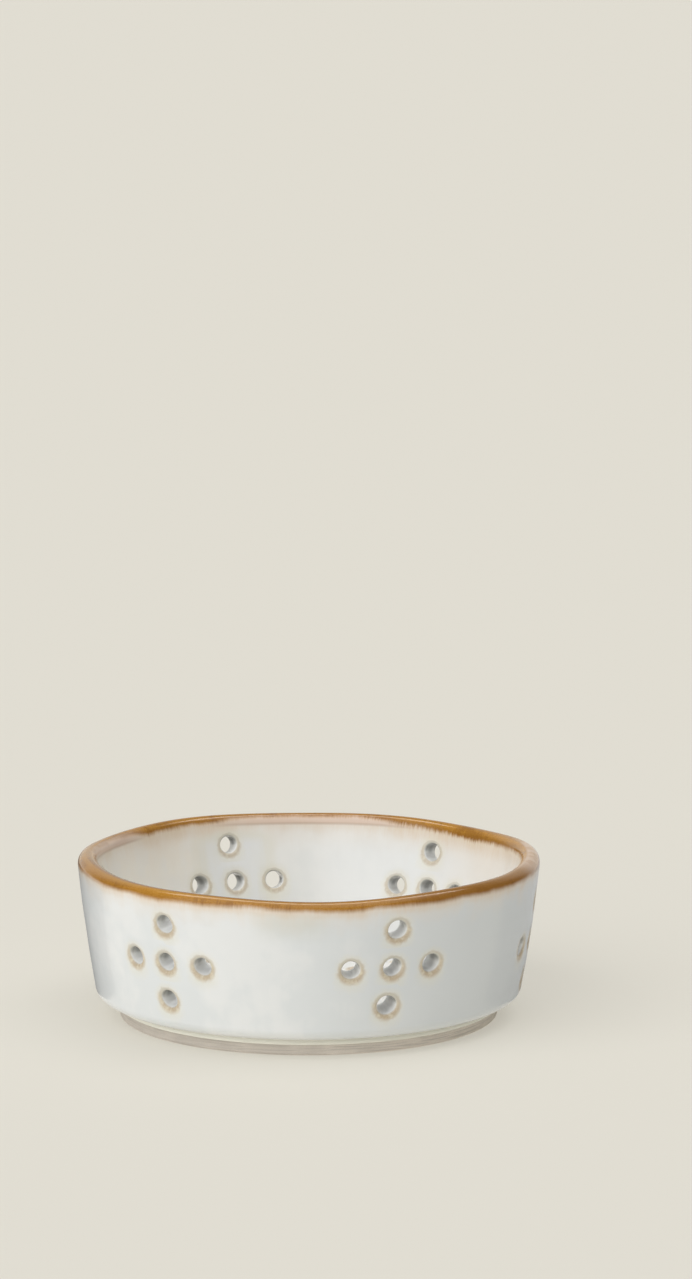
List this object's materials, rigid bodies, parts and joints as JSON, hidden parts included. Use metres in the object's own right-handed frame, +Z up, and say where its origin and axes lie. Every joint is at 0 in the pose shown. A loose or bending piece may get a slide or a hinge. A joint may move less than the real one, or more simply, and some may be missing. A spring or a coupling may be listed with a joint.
{
  "type": "berry colander bowl",
  "caption": "Small stoneware berry bowl with drain holes in the floor and crosses of holes in the wall, white glaze and an amber lip.",
  "frame": {"origin": "middle of the foot's underside, where the bowl rests on the table", "axes": "+Z up through the bowl's open top; -Y is the side that the picture's lower picture shows, and +X is to that picture's right"},
  "size_m": [0.15, 0.1532, 0.0534],
  "materials": {
    "bare_clay": "unglazed stoneware, fine grained and matt",
    "amber_glaze": "glossy amber brown glaze with fine darker specks",
    "white_glaze": "glossy cool white glaze, faintly streaked, blushing pink under the lip",
    "hole_glaze": "glossy glaze that breaks to tan on the edges of the holes"
  },
  "bodies": {
    "root": {"clay_wall": "bare_clay", "clay_floor": "bare_clay", "foot_ring": "bare_clay", "amber_rim_glaze": "amber_glaze", "outer_white_glaze": "white_glaze", "inner_white_glaze": "white_glaze", "underside_glaze": "white_glaze", "side_hole_linings": "hole_glaze", "drain_hole_linings": "hole_glaze"}
  },
  "joints": []
}
